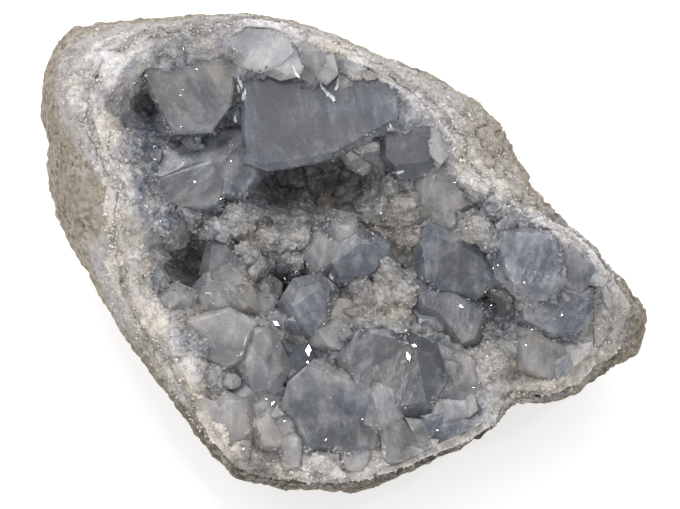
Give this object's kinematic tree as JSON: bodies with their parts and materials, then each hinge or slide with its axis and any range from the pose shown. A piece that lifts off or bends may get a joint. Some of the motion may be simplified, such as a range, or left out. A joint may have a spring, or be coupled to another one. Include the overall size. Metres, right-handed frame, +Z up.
{
  "type": "celestite geode",
  "caption": "Broken-open limestone nodule with a deep hollow lined by blocky blue-grey celestite crystals, lying on its back on a small flat spot.",
  "frame": {"origin": "centre of the bounding box's underside, on the surface the geode lies on", "axes": "+Z up, +X along the long way of the broken face, -Y to the front, where the face leans by 20 degrees"},
  "size_m": [0.153, 0.1201, 0.0845],
  "materials": {
    "stone": "rough, granular, tan limestone with paler and browner patches",
    "celestite": "glassy, translucent, flat-faced blue-grey crystals with milky veils"
  },
  "bodies": {
    "root": {"stone": "stone", "crystal_crust": "celestite"}
  },
  "joints": []
}
